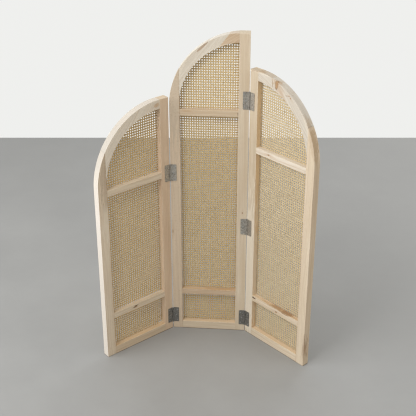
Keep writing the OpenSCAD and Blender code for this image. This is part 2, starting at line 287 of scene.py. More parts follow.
def knot_group():
    """A knot round an axis: its wood, its dark rim, its stain and how it bends the rings."""
    group, given, result = make_group(
        "pine_knot",
        [
            ("Vector", "Vector"),
            ("Centre", "Vector"),
            ("Axis", "Vector"),
            ("Radius", "Float"),
            ("Stain", "Float"),
        ],
        [("Wood", "Float"), ("Rim", "Float"), ("Stain", "Float"), ("Warp", "Float")],
    )
    away = vector_node(group, "SUBTRACT", given["Vector"], given["Centre"])
    rough = noise(group, given["Vector"], 180, 2)
    near = vector_node(group, "MULTIPLY", away, (0.72, 1, 1))
    near = vector_node(group, "CROSS_PRODUCT", near, given["Axis"])
    near = vector_node(group, "LENGTH", near, output="Value")
    near = math_node(group, "DIVIDE", near, given["Radius"])
    near = jitter(group, near, rough, 0.16)
    group.links.new(remap(group, near, 0.9, 1.08, 1.0, 0.0), result["Wood"])
    rim = math_node(group, "ABSOLUTE", math_node(group, "SUBTRACT", near, 0.98))
    group.links.new(remap(group, rim, 0.02, 0.22, 1.0, 0.0), result["Rim"])
    wide = vector_node(group, "MULTIPLY", away, (0.2, 1, 1))
    wide = vector_node(group, "CROSS_PRODUCT", wide, given["Axis"])
    wide = vector_node(group, "LENGTH", wide, output="Value")
    wide = math_node(group, "DIVIDE", wide, given["Radius"])
    patchy = noise(group, given["Vector"], (14, 160, 160), 3)
    wide = math_node(group, "ADD", wide, remap(group, patchy, 0.25, 0.75, -0.9, 0.9))
    stain = remap(group, wide, 0.4, 2.6, 1.0, 0.0)
    group.links.new(math_node(group, "MULTIPLY", stain, given["Stain"]), result["Stain"])
    bend = math_node(group, "DIVIDE", near, 2.4)
    bend = math_node(group, "MULTIPLY", math_node(group, "MULTIPLY", bend, bend), -1.0)
    bend = math_node(group, "EXPONENT", bend)
    bend = math_node(group, "MULTIPLY", bend, given["Radius"])
    group.links.new(math_node(group, "MULTIPLY", bend, 1.3), result["Warp"])
    return group


GRAIN = grain_group()
KNOT = knot_group()

CREAM = (srgb(226, 213, 193), srgb(210, 191, 164))
HONEY = (srgb(220, 203, 179), srgb(200, 178, 149))
TAN = (srgb(214, 193, 167), srgb(193, 168, 139))
GREY = (srgb(216, 206, 190), srgb(196, 182, 160))
PALE = (srgb(230, 221, 207), srgb(216, 202, 183))
OAT = (srgb(216, 209, 197), srgb(204, 195, 181))
IVORY = (srgb(232, 224, 209), srgb(218, 206, 188))
BLUSH = (srgb(214, 200, 180), srgb(196, 180, 155))
ROSE = (srgb(229, 208, 182), srgb(213, 187, 159))
ASH = (srgb(223, 215, 201), srgb(205, 194, 177))
END_GRAIN = srgb(208, 194, 172)
SAPWOOD = srgb(238, 229, 213)
HEART = srgb(180, 153, 119)
HEART_DARK = srgb(170, 146, 118)
DRIFT = srgb(178, 157, 132)
AMBER = srgb(188, 150, 106)
BARK = srgb(150, 116, 82)
PITCH_DARK = srgb(92, 66, 44)
PAINTED_CONTACT_SHADOW = srgb(84, 66, 50)
# Painted contact shadow: the colour that darkens each board's lowest few millimetres, where it meets
# the floor.
WORN_EDGE = srgb(236, 225, 206)
LATE_SHADE = (0.74, 0.62, 0.52)
STAIN_BROWN = srgb(184, 150, 114)
KNOT_WOOD = srgb(174, 140, 103)
KNOT_RIM = srgb(122, 94, 70)


def mapping(tree, vector, matrix):
    """Applies a rigid matrix, which may mirror X, to a vector."""
    turn = matrix.to_3x3()
    mirror = -1.0 if turn.determinant() < 0 else 1.0
    turn = turn @ Matrix.Diagonal((mirror, 1, 1))
    inputs = {
        "Vector": vector,
        "Location": matrix.to_translation(),
        "Rotation": turn.to_euler("XYZ"),
        "Scale": (mirror, 1, 1),
    }
    return add(tree, "ShaderNodeMapping", inputs).outputs[0]


def to_rail_edge(tree, panel, z, rail):
    """How far inside the nearer long edge of a cross rail a point lies."""
    low, high = panel.span(rail)
    middle, half = (low.z + high.z) / 2, (high.z - low.z) / 2
    away = math_node(tree, "ABSOLUTE", math_node(tree, "SUBTRACT", z, middle))
    return math_node(tree, "SUBTRACT", half, away)


def to_frame_edge(tree, panel, x, z):
    """How far a point of the frame lies from its nearer edge, the outer or the inner one."""
    rise = math_node(tree, "MAXIMUM", math_node(tree, "SUBTRACT", z, panel.arch_z), 0.0)
    run = math_node(tree, "MAXIMUM", math_node(tree, "SUBTRACT", x, panel.arch_x), 0.0)
    spot = add(tree, "ShaderNodeCombineXYZ", {0: run, 1: rise}).outputs[0]
    radius = vector_node(tree, "LENGTH", spot, output="Value")
    outer = math_node(tree, "SUBTRACT", panel.arch_r, radius)
    outer = math_node(tree, "MINIMUM", outer, x)
    inner = math_node(tree, "SUBTRACT", radius, panel.inner_r)
    for part in (
        math_node(tree, "SUBTRACT", panel.stile_w, x),
        math_node(tree, "SUBTRACT", x, panel.far_edge),
        math_node(tree, "SUBTRACT", panel.bottom_h, z),
    ):
        inner = math_node(tree, "MAXIMUM", inner, part)
    return math_node(tree, "MINIMUM", outer, math_node(tree, "ABSOLUTE", inner))


WEAR_RAGGED = 1.6 * MM
WEAR_FULL = 0.4 * MM
WEAR_END = 3.2 * MM


def edge_wear(tree, panel, place, rail):
    """1 along the arrises of a frame or of one cross rail, fading over a few millimetres."""
    x, y, z = add(tree, "ShaderNodeSeparateXYZ", {0: place}).outputs
    face = math_node(tree, "MINIMUM", y, math_node(tree, "SUBTRACT", panel.depth, y))
    side = to_rail_edge(tree, panel, z, rail) if rail else to_frame_edge(tree, panel, x, z)
    away = jitter(tree, math_node(tree, "MAXIMUM", face, side), noise(tree, place, 90, 3), WEAR_RAGGED)
    return remap(tree, away, WEAR_FULL, WEAR_END, 1.0, 0.0)


# The heights at which the painted contact shadow at each board's foot is full, and where it ends.
CONTACT_SHADOW_FULL = 1 * MM
CONTACT_SHADOW_END = 5 * MM
PATCH_Y = 8 * MM
PATCH_HALF_Y = 30 * MM


def patch_mask(tree, place, along, x, z, half_x, half_z, tilt):
    """1 inside a ragged patch near the front face, sizes in millimetres, tilt in degrees."""
    turn = Matrix.Rotation(math.radians(tilt), 4, "Y")
    local = turn @ Matrix.Translation((-x * MM, -PATCH_Y, -z * MM))
    spot = mapping(tree, place, local)
    sizes = (1 / (half_x * MM), 1 / PATCH_HALF_Y, 1 / (half_z * MM))
    spot = vector_node(tree, "MULTIPLY", spot, sizes)
    away = vector_node(tree, "LENGTH", spot, output="Value")
    away = jitter(tree, away, noise(tree, along, (14, 130, 130), 3, 0.6), 0.35)
    return remap(tree, away, 0.65, 1.15, 1.0, 0.0)


def facing(tree, normal, panel, way):
    """How squarely a face looks along a direction of the panel's space, from 0 to 1."""
    way = panel.to_world.to_3x3() @ way
    cosine = vector_node(tree, "DOT_PRODUCT", normal, way, output="Value")
    return math_node(tree, "ABSOLUTE", cosine)


def add_knot(tree, along, board, knot):
    """One knot of a board, from its place and size in millimetres in the panel's space."""
    x, y, z, axis, radius, stain = knot
    made = add(tree, "ShaderNodeGroup", node_tree=KNOT)
    tree.links.new(along, made.inputs["Vector"])
    made.inputs["Centre"].default_value = board @ (Vector((x, y, z)) * MM)
    made.inputs["Axis"].default_value = (board.to_3x3() @ Vector(axis)).normalized()
    made.inputs["Radius"].default_value = radius * MM
    made.inputs["Stain"].default_value = stain
    return made.outputs


def add_grain(tree, along, pith, seed, marks):
    """A board's grain, with its rings bent round its knots."""
    grain = add(tree, "ShaderNodeGroup", node_tree=GRAIN)
    tree.links.new(along, grain.inputs["Vector"])
    grain.inputs["Pith"].default_value = pith
    grain.inputs["Seed"].default_value = seed
    if marks:
        warp = marks[0]["Warp"]
        for mark in marks[1:]:
            warp = math_node(tree, "ADD", warp, mark["Warp"])
        tree.links.new(warp, grain.inputs["Warp"])
    return grain.outputs


def grain_colour(tree, grain, tone):
    """Pale and dark streaks, with darker late wood in each ring."""
    pale, dark = tone
    colour = blend(tree, remap(tree, grain["Streak"], 0.3, 0.72, smooth=False), pale, dark)
    blotch = remap(tree, grain["Blotch"], 0.3, 0.7, 0.0, 0.6, smooth=False)
    colour = blend(tree, blotch, colour, dark)
    late = math_node(tree, "MULTIPLY", grain["Late"], 0.45)
    return blend(tree, late, colour, tuple(c * f for c, f in zip(dark, LATE_SHADE)))


def board_relief(tree, grain, marks):
    """Raised late wood and fibres, and sunken knot rims."""
    height = math_node(tree, "MULTIPLY", grain["Late"], 0.45)
    height = math_node(tree, "ADD", height, math_node(tree, "MULTIPLY", grain["Fibre"], 0.5))
    height = math_node(tree, "ADD", height, math_node(tree, "MULTIPLY", grain["Blotch"], 0.6))
    for mark in marks:
        height = math_node(tree, "SUBTRACT", height, math_node(tree, "MULTIPLY", mark["Rim"], 0.7))
    return height


def timber(name, panel, middle, angle, tone, pith, seed, knots=(), patches=(), side_light=None, rail=None):
    """Bare sanded pine. Angle is the grain's, from the panel's X towards Z."""
    material, tree, shader = new_material(name)
    turn = Matrix.Rotation(angle, 4, "Y")
    board = turn @ Matrix.Translation(-middle)
    coordinates = add(tree, "ShaderNodeTexCoord").outputs
    normal = coordinates["Normal"]
    place = mapping(tree, coordinates["Object"], panel.from_world)
    along = mapping(tree, place, board)
    rise = add(tree, "ShaderNodeSeparateXYZ", {0: place}).outputs[2]
    marks = [add_knot(tree, along, board, knot) for knot in knots]
    grain = add_grain(tree, along, pith, seed, marks)
    colour = grain_colour(tree, grain, tone)
    # Painted light and shade: faces that look sideways take tones by height in place of the light that
    # falls on them.
    if side_light:
        amount, tones = side_light
        square = facing(tree, normal, panel, Vector((0, 1, 0)))
        sideways = remap(tree, square, 0.3, 0.8, amount, 0.0)
        level = math_node(tree, "DIVIDE", rise, panel.height)
        colour = blend(tree, sideways, colour, ramp(tree, level, tones))
    for *shape, stain, amount in patches:
        mask = math_node(tree, "MULTIPLY", patch_mask(tree, place, along, *shape), amount)
        if side_light and panel.name == "left":
            # The left wing's outer side has its own painted light and shade by height, so its patches
            # stay off it.
            clear = remap(tree, sideways, 0.0, side_light[0], 1.0, 0.0)
            mask = math_node(tree, "MULTIPLY", mask, clear)
        colour = blend(tree, mask, colour, stain)
    fibre = remap(tree, grain["Fibre"], 0.25, 0.75, 0.9, 1.06, smooth=False)
    colour = scaled(tree, colour, fibre)
    for mark in marks:
        colour = blend(tree, mark["Stain"], colour, STAIN_BROWN)
        colour = blend(tree, mark["Wood"], colour, KNOT_WOOD)
        colour = blend(tree, math_node(tree, "MULTIPLY", mark["Rim"], 0.8), colour, KNOT_RIM)
    square = facing(tree, normal, panel, turn.to_3x3().inverted() @ Vector((1, 0, 0)))
    end = remap(tree, square, 0.72, 0.94, 0.0, 0.6)
    colour = blend(tree, end, colour, END_GRAIN)
    # Painted contact shadow: the board darkens towards its foot, where it stands on the floor.
    contact_shadow = remap(tree, rise, CONTACT_SHADOW_FULL, CONTACT_SHADOW_END, 0.8, 0.0)
    colour = blend(tree, contact_shadow, colour, PAINTED_CONTACT_SHADOW)
    wear = edge_wear(tree, panel, place, rail)
    colour = blend(tree, math_node(tree, "MULTIPLY", wear, 0.3), colour, WORN_EDGE)
    rough = remap(tree, grain["Streak"], 0.2, 0.8, 0.5, 0.68, smooth=False)
    rough = math_node(tree, "ADD", rough, math_node(tree, "MULTIPLY", end, 0.3))
    rough = math_node(tree, "SUBTRACT", rough, math_node(tree, "MULTIPLY", wear, 0.08))
    wire(tree, shader, colour, rough, board_relief(tree, grain, marks), 0.35 * MM, 0.7)
    shader.inputs["Specular IOR Level"].default_value = 0.35
    return material


UP = math.pi / 2

# The chord of each arch in degrees, and the further turn of its head block in radians.
ARCH_GRAIN = {"centre": 128, "left": 131, "right": 134}
HEAD_TURN = 0.35

# Where each board's pith runs in its own space: its slope, and its Y and Z in metres.
PITHS = {
    "tall_stile": (0.012, -0.03, 0.05),
    "arched_stile": (0.016, 0.07, -0.045),
    "arch_board": (0.05, 0.05, -0.02),
    "head_block": (0.03, -0.05, 0.03),
    "upper_rail": (0.02, 0.06, 0.02),
    "lower_rail": (0.024, -0.05, -0.03),
    "bottom_rail": (0.014, 0.05, 0.03),
}

# The tones of each panel's boards, in the order of PITHS.
TONES = {
    "centre": (CREAM, TAN, ASH, TAN, HONEY, TAN, CREAM),
    "left": (ROSE, HONEY, IVORY, IVORY, CREAM, CREAM, HONEY),
    "right": (BLUSH, HONEY, OAT, OAT, PALE, CREAM, CREAM),
}
CROSS_RAILS = ("upper_rail", "lower_rail")


def grain_angle(panel, part):
    """Up a stile, along a rail, and along the chord of the arch for its two boards."""
    if part.endswith("stile"):
        return UP
    if part.endswith("rail"):
        return 0.0
    chord = math.radians(ARCH_GRAIN[panel.name])
    return chord + HEAD_TURN if part == "head_block" else chord


# The axis of a knot that shows on the front face.
FRONT = (0.05, 1, 0.08)


def knot_on_arch(panel, angle, depth, radius, stain):
    """A knot whose axis runs inward from the arch's outer edge, at an angle above the spring."""
    turn = math.radians(angle)
    x = (panel.arch_x + panel.arch_r * math.cos(turn)) / MM
    z = (panel.arch_z + panel.arch_r * math.sin(turn)) / MM
    return x, depth, z, (math.cos(turn), 0.35, math.sin(turn)), radius, stain


def knots_of(panel):
    """The knots of each board, by part: X, Y, Z, axis, radius and stain, in millimetres."""
    upper, lower = (panel.span(rail)[1].z / MM for rail in CROSS_RAILS)
    if panel.name == "right":
        return {
            "arch_board": [knot_on_arch(panel, 75, 5, 7, 0.5), (272, 0, 1480, FRONT, 3, 0.3)],
            "upper_rail": [(140, 0, upper - 14, FRONT, 4, 0.3)],
            "lower_rail": [
                (236, 0, lower - 20, FRONT, 5, 0.3),
                (290, 14, lower, (0.1, 0.1, 1), 6, 0.2),
            ],
        }
    if panel.name == "left":
        return {"lower_rail": [(250, 0, lower - 16, FRONT, 3, 0.2)]}
    return {
        "arched_stile": [(panel.width / MM - 6, 0, 630, FRONT, 5.5, 0.4)],
        "tall_stile": [(23, 0, 757, FRONT, 3, 0.2)],
    }


# Heartwood, stains and dark flecks, by panel and part. Each is its middle's X and Z, its half
# sizes along X and Z, all in millimetres, its tilt in degrees, its colour and its amount.
SCARF_STAIN = (151, 1522, 2.5, 34, 8, BARK, 0.6)
PATCHES = {
    "centre": {
        "arched_stile": [
            (375, 1430, 90, 300, 0, DRIFT, 1.0),
            (400, 630, 5, 6, 0, PITCH_DARK, 0.9),
        ],
        "arch_board": [(236, 1664, 5, 46, 47, BARK, 0.6)],
        "upper_rail": [
            (318, 1328, 32, 4, 0, AMBER, 0.5),
            (56, 1320, 2.2, 12, 0, PITCH_DARK, 0.6),
        ],
        "lower_rail": [(140, 265, 95, 7, 0, AMBER, 0.5)],
    },
    "left": {
        "arched_stile": [
            (393, 1080, 50, 214, 0, HEART_DARK, 1.0),
            (402, 1090, 6, 100, 3, BARK, 0.5),
            (400, 800, 40, 110, 0, SAPWOOD, 0.3),
            (443, 120, 3, 90, 0, BARK, 0.6),
        ],
        "head_block": [(72, 1374, 20, 12, 0, AMBER, 0.6)],
        "lower_rail": [(250, 250, 17, 6, -8, PITCH_DARK, 1.0)],
    },
    "right": {
        "head_block": [SCARF_STAIN, (62, 1561, 32, 5, 0, HEART, 0.7)],
        "arch_board": [
            SCARF_STAIN,
            (178, 1532, 34, 7, 14, HEART, 0.5),
            (254, 1487, 20, 1.8, 12, BARK, 0.8),
            (400, 1370, 16, 80, 32, HEART, 0.6),
        ],
        "lower_rail": [
            (260, 265, 130, 7, 0, AMBER, 0.6),
            (302, 265, 45, 7, 0, BARK, 0.8),
            (225, 266, 50, 6, 0, BARK, 0.5),
            (64, 253, 16, 5, 0, PITCH_DARK, 1.0),
            (236, 246, 6, 4.5, 0, PITCH_DARK, 0.7),
        ],
        "arched_stile": [
            (442, 110, 8, 80, 0, BARK, 0.75),
            (424, 1290, 18, 90, 14, HEART, 0.8),
        ],
        "tall_stile": [
            (3, 1100, 12, 250, 0, HEART, 0.3),
            # This pale patch is painted light: it lightens the lower part of the right tall stile.
            (26, 400, 60, 520, 0, SAPWOOD, 0.5),
            (26, 1561, 50, 9, 0, HEART_DARK, 1.0),
        ],
    },
}

# Painted light and shade on the faces that look sideways: tones by height from 0 to 1, where they
# differ from the front, that stand in for how the lamps light or shade those faces. The right wing's
# head block takes a painted shade on its sides.
COOL_SIDE_LIGHT = [(0.0, srgb(222, 216, 207)), (1.0, srgb(226, 220, 211))]
WARM_SIDE_LIGHT = [(0.0, srgb(226, 190, 142)), (1.0, srgb(238, 208, 165))]
SIDE_SHADE = [(0.0, HEART), (1.0, HEART)]
LEFT_SIDE_LIGHT_AND_SHADE = [
    (0.3, srgb(224, 218, 209)),
    (0.6, srgb(234, 228, 221)),
    (0.74, srgb(230, 224, 215)),
    (0.8, srgb(209, 204, 196)),
    (0.87, srgb(190, 184, 176)),
    (0.93, srgb(192, 184, 174)),
    (1.0, srgb(211, 202, 191)),
]
SIDE_LIGHT_AND_SHADE = {
    "centre": {
        "arched_stile": (0.6, COOL_SIDE_LIGHT),
        "arch_board": (0.6, COOL_SIDE_LIGHT),
        "head_block": (0.4, COOL_SIDE_LIGHT),
        "lower_rail": (0.3, WARM_SIDE_LIGHT),
        "bottom_rail": (0.4, WARM_SIDE_LIGHT),
    },
    "left": {
        "arched_stile": (0.8, LEFT_SIDE_LIGHT_AND_SHADE),
        "arch_board": (0.8, LEFT_SIDE_LIGHT_AND_SHADE),
        "head_block": (0.6, LEFT_SIDE_LIGHT_AND_SHADE),
        "bottom_rail": (0.4, WARM_SIDE_LIGHT),
    },
    "right": {
        "tall_stile": (0.8, WARM_SIDE_LIGHT),
        "head_block": (0.4, SIDE_SHADE),
        "lower_rail": (0.3, WARM_SIDE_LIGHT),
        "bottom_rail": (0.4, WARM_SIDE_LIGHT),
    },
}


def board_wood(panel, part, tone, seed):
    """The timber of one board of a panel's frame."""
    low, high = panel.span(part)
    return timber(
        f"{panel.name}_{part}_pine",
        panel,
        (low + high) / 2,
        grain_angle(panel, part),
        tone,
        PITHS[part],
        seed,
        knots_of(panel).get(part, ()),
        PATCHES[panel.name].get(part, ()),
        SIDE_LIGHT_AND_SHADE[panel.name].get(part),
        part if part in CROSS_RAILS else None,
    )


BEAD_PITH = (0.01, 0.08, 0.04)


def bead_wood(panel, seed):
    """Straight-grained pine lath, with its grain along the upright beads."""
    low, high = panel.span("tall_bead")
    middle = (low + high) / 2
    return timber(f"{panel.name}_bead_pine", panel, middle, UP, GREY, BEAD_PITH, seed)


BEECH_PALE = srgb(214, 178, 138)
BEECH_DARK = srgb(193, 152, 112)
BEECH_FLECK = srgb(150, 105, 72)


def dowel_wood():
    """Turned beech: straight fine fibres along the dowel with short darker flecks."""
    material, tree, shader = new_material("dowel_beech")
    place = add(tree, "ShaderNodeTexCoord").outputs["Object"]
    fibre = noise(tree, place, (40, 900, 900), 3, 0.6)
    fleck = noise(tree, place, (300, 1400, 1400), 2)
    colour = ramp(tree, fibre, [(0.3, BEECH_PALE), (0.7, BEECH_DARK)])
    colour = blend(tree, remap(tree, fleck, 0.62, 0.72, 0, 0.5), colour, BEECH_FLECK)
    wire(tree, shader, colour, remap(tree, fibre, 0.2, 0.8, 0.5, 0.7), fibre, 0.1 * MM)
    return material


PANEL_SEED = 3.1
BOARD_SEED = 1.7
BEAD_SEED = 9.3


def dress_timber(panel, number):
    """Gives each board and bead of a panel its own wood."""
    for step, (part, tone) in enumerate(zip(PITHS, TONES[panel.name])):
        seed = PANEL_SEED * number + BOARD_SEED * step
        wood = board_wood(panel, part, tone, seed)
        NODES[f"{panel.name}_{part}"].material_slots[0].material = wood
    bead = bead_wood(panel, BEAD_SEED + number)
    for part in ("tall_bead", "arched_bead", "curved_bead", "bottom_bead"):
        NODES[f"{panel.name}_{part}"].material_slots[0].material = bead


# ---------------------------------------------------------------- steel


PIT_DARK = srgb(70, 66, 60)


def steel(name, pale, dark, roughness, seed):
    """Dull zinc-plated steel: faint spangle, brushing, scratches and small dark pits, and a cloudy
    light and dark mottle that is partly painted reflection.
    """
    material, tree, shader = new_material(name)
    place = add(tree, "ShaderNodeTexCoord").outputs["Object"]
    place = vector_node(tree, "ADD", place, (seed, seed * 0.7, seed * 0.3))
    # The cloud's light and dark mottle in the colour is partly painted reflection.
    cloud = noise(tree, place, 130, 4, 0.6)
    brushed = noise(tree, place, (900, 900, 25), 3, 0.6)
    pits = noise(tree, place, 1100, 2, 0.7)
    grains = add(tree, "ShaderNodeTexVoronoi", {"Vector": place, "Scale": 420.0})
    spangle = add(tree, "ShaderNodeSeparateColor", {0: grains.outputs["Color"]}).outputs[0]
    tone = math_node(tree, "ADD", cloud, math_node(tree, "MULTIPLY", spangle, 0.16))
    tone = math_node(tree, "ADD", tone, math_node(tree, "MULTIPLY", brushed, 0.3))
    colour = ramp(tree, remap(tree, tone, 0.4, 1.0, smooth=False), [(0.0, dark), (1.0, pale)])
    pit = remap(tree, pits, 0.64, 0.74, 0.0, 0.7)
    colour = blend(tree, pit, colour, PIT_DARK)
    rough = remap(tree, tone, 0.4, 1.0, roughness + 0.12, roughness - 0.08, smooth=False)
    height = math_node(tree, "ADD", math_node(tree, "MULTIPLY", brushed, 0.5), cloud)
    height = math_node(tree, "SUBTRACT", height, pit)
    wire(tree, shader, colour, rough, height, 0.08 * MM)
    shader.inputs["Metallic"].default_value = 0.85
    return material


def dress_steel():
    """Gives every hinge leaf, pin, screw, brad and staple its steel."""
    upper = steel("hinge_zinc", srgb(212, 207, 198), srgb(118, 113, 104), 0.5, 0.2)
    # The lower hinges take a darker copy of the same zinc: painted shade.
    lower = steel("low_hinge_zinc", srgb(166, 165, 161), srgb(96, 94, 90), 0.5, 0.9)
    bright = steel("screw_zinc", srgb(196, 198, 198), srgb(150, 152, 153), 0.36, 1.4)
    for name, node in NODES.items():
        if name.endswith("_leaf"):
            node.material_slots[0].material = lower if "_low_" in name else upper
        elif name.endswith(("_pins", "_screws", "_brads", "_staples")):
            node.material_slots[0].material = bright


# ---------------------------------------------------------------- cane

PITCH = 12.7 * MM
PAIR = 3.35 * MM
STRAND_W = 3.25 * MM
SLANT_W = 2.7 * MM
CROWN = 0.18 * MM
BELLY = 0.12 * MM
PAIR_RISE = 0.16 * MM
SLANT_RISE = 0.32 * MM
END_GAP = 0.4 * MM
DRIFT_SIZE = 0.03 * MM
STRAND_VARIES = 0.02
PLACE_VARIES = 0.012
STRAND_NUMBERS = 40

# How far the webbing is pulled across and up on each panel.
STRETCH = {"centre": (0.976, 1.055), "left": (1.078, 1.071), "right": (1.078, 1.071)}

FAR_OFF = 10.0
PARALLEL = 1e-12


def clip(hull, start, way):
    """The stretch of a line that lies inside a convex outline, as two distances."""
    low, high = -FAR_OFF, FAR_OFF
    for (ax, az), (bx, bz) in zip(hull, hull[1:] + hull[:1]):
        nx, nz = bz - az, ax - bx
        inside = nx * (ax - start[0]) + nz * (az - start[1])
        rate = nx * way[0] + nz * way[1]
        if abs(rate) < PARALLEL:
            if inside < 0:
                return None
            continue
        cut = inside / rate
        if rate > 0:
            high = min(high, cut)
        else:
            low = max(low, cut)
    return (low, high) if high - low > STRAND_W else None


class Weave:
    """Gathers strands as one mesh, with each vertex's place along and across its strand.

    Strands are laid on an even grid, and stretch says how the webbing is pulled across and up.
    """

    def __init__(self, panel, depth, outline, stretch):
        self.panel = panel
        self.depth = depth
        self.outline = outline
        self.stretch = stretch
        self.points, self.faces, self.fibres, self.ends = [], [], [], []
        self.count = 0

    def strand(self, start, way, crossings, heights, width):
        """One strand along a line. Its height alternates from crossing to crossing."""
        span = clip(self.outline, start, way)
        if span is None:
            return
        low, high = span
        keep = (crossings > low + END_GAP) & (crossings < high - END_GAP)
        stops = np.concatenate(([low], crossings[keep], [high]))
        rise = np.interp(stops, crossings, heights)
        side = np.array((-way[1], way[0]))
        drift = RNG.normal(0, DRIFT_SIZE, len(stops))
        usual = 1 + RNG.normal(0, STRAND_VARIES)
        broad = width / 2 * (usual + RNG.normal(0, PLACE_VARIES, len(stops)))
        middle = np.array(start) + stops[:, None] * np.array(way) + drift[:, None] * side
        rows = []
        for across, lift in ((-1, -BELLY), (0, CROWN), (1, -BELLY)):
            flat = middle + (across * broad)[:, None] * side
            across_x, up_z = (flat * self.stretch).T
            rows.append(np.column_stack((across_x, self.depth - rise - lift, up_z)))
        body = np.stack(rows, 1).reshape(-1, 3)
        self.points.append(body)
        number = RNG.uniform(0, STRAND_NUMBERS)
        for stop in stops:
            self.fibres += [(stop, across, number) for across in (-1, 0, 1)]
        base = self.count
        steps = np.arange(len(stops) - 1)[:, None] * 3 + base
        for a, b in ((0, 1), (1, 2), (2, 0)):
            self.faces.append(np.hstack((steps + a, steps + b, steps + 3 + b, steps + 3 + a)))
        last = base + 3 * (len(stops) - 1)
        self.ends += [(base + 2, base + 1, base), (last, last + 1, last + 2)]
        self.count += 3 * len(stops)

    def finish(self, name):
        """Makes the gathered strands into one object."""
        points = np.concatenate(self.points)
        points = [self.panel.to_world @ Vector(p) for p in points]
        faces = np.concatenate(self.faces).tolist() + self.ends
        if not self.panel.mirrored:
            faces = [tuple(reversed(f)) for f in faces]
        mesh = bpy.data.meshes.new(name)
        mesh.from_pydata(points, [], faces)
        mesh.polygons.foreach_set("use_smooth", [True] * len(mesh.polygons))
        fibre = mesh.attributes.new("fibre", "FLOAT_VECTOR", "POINT")
        fibre.data.foreach_set("vector", np.array(self.fibres, np.float32).ravel())
        mesh.validate()
        made = bpy.data.objects.new(name, mesh)
        bpy.context.scene.collection.objects.link(made)
        return made


def lattice(low, high):
    """Whole numbers of pitches that cover a stretch."""
    return np.arange(math.floor(low / PITCH) - 1, math.ceil(high / PITCH) + 2)


def straw(pale, middle, dark):
    """Colour stops from the palest cane to the darkest."""
    return [(0.0, srgb(*pale)), (0.45, srgb(*middle)), (1.0, srgb(*dark))]


# The same cane fills every panel: the right wing's is painted paler as if lit, and the left wing's a
# little darker as if in shade.
STRAW_LIT_AND_SHADED = {
    "centre": straw((231, 210, 168), (218, 193, 145), (194, 163, 112)),
    "left": straw((231, 207, 163), (217, 190, 140), (191, 160, 109)),
    "right": straw((235, 218, 185), (222, 202, 162), (197, 170, 127)),
}
STRAW_JOINT = srgb(150, 112, 66)
STRAW_EDGE_SHADE = srgb(150, 118, 76)
JOINTS_A_METRE = 2.6


def cane_material(name, stops):
    """Split cane: a glossy straw-coloured skin with fine fibres, tone that varies by strand, and
    painted shade towards each strand's edges.
    """
    material, tree, shader = new_material(name)
    fibre = add(tree, "ShaderNodeAttribute", attribute_name="fibre").outputs["Vector"]
    place = vector_node(tree, "MULTIPLY", fibre, (1, MM, 1))
    fine = noise(tree, place, (25, 2600, 3), 3, 0.6)
    slow = noise(tree, place, (7, 90, 3), 2)
    parts = add(tree, "ShaderNodeSeparateXYZ", {0: fibre}).outputs
    each = add(tree, "ShaderNodeTexWhiteNoise", {"W": parts[2]}, noise_dimensions="1D")
    tone = math_node(tree, "MULTIPLY", each.outputs[0], 0.25)
    tone = math_node(tree, "ADD", tone, math_node(tree, "MULTIPLY", fine, 0.35))
    tone = math_node(tree, "ADD", tone, math_node(tree, "MULTIPLY", slow, 0.5))
    colour = ramp(tree, remap(tree, tone, 0.25, 0.95, smooth=False), stops)
    joint = math_node(tree, "ADD", parts[0], math_node(tree, "MULTIPLY", parts[2], 0.37))
    joint = math_node(tree, "FRACT", math_node(tree, "MULTIPLY", joint, JOINTS_A_METRE))
    joint = math_node(tree, "ABSOLUTE", math_node(tree, "SUBTRACT", joint, 0.5))
    joint = remap(tree, joint, 0.0, 0.008, 0.6, 0.0)
    colour = blend(tree, joint, colour, STRAW_JOINT)
    # Painted shade: each strand darkens towards its edges, where strands cross and part.
    edge = math_node(tree, "ABSOLUTE", parts[1])
    colour = blend(tree, remap(tree, edge, 0.6, 1.0, 0.0, 0.6), colour, STRAW_EDGE_SHADE)
    rough = remap(tree, fine, 0.2, 0.8, 0.32, 0.5, smooth=False)
    wire(tree, shader, colour, rough, fine, 0.06 * MM)
    shader.inputs["Specular IOR Level"].default_value = 0.3
    return material


def weave_pairs(weave, columns, rows, shift):
    """Upright and level strands in pairs, each over and under the ones that it crosses."""
    offsets = (-PAIR / 2, PAIR / 2)
    for level, numbers, others in ((False, columns, rows), (True, rows, columns)):
        first, second = (shift.x, shift.y) if level else (shift.y, shift.x)
        crossings = np.sort(
            np.concatenate([others * PITCH + first + offset for offset in offsets])
        )
        way = (1.0, 0.0) if level else (0.0, 1.0)
        for number in numbers:
            for which, offset in enumerate(offsets):
                sign = np.where(np.arange(len(crossings)) % 2 == (which ^ level), 1, -1)
                fixed = number * PITCH + second + offset
                start = (0.0, fixed) if level else (fixed, 0.0)
                weave.strand(start, way, crossings, sign * PAIR_RISE, STRAND_W)


SLANTS_SPARE = 4


def weave_slants(weave, columns, rows, shift):
    """Single strands both ways on the slant. Where two cross, one is raised and the other sunk."""
    root = math.sqrt(0.5)
    reach = np.arange(-2 * len(rows), 2 * len(rows))
    crossings = reach * PITCH * root
    for way in (1, -1):
        sign = np.where(reach % 2 == 0, -1, 1) * way
        for number in range(-len(rows) - SLANTS_SPARE, len(rows) + len(columns) + SLANTS_SPARE):
            start = (shift.x + (number + 0.5) * PITCH, shift.y)
            weave.strand(start, (way * root, root), crossings, sign * SLANT_RISE, SLANT_W)


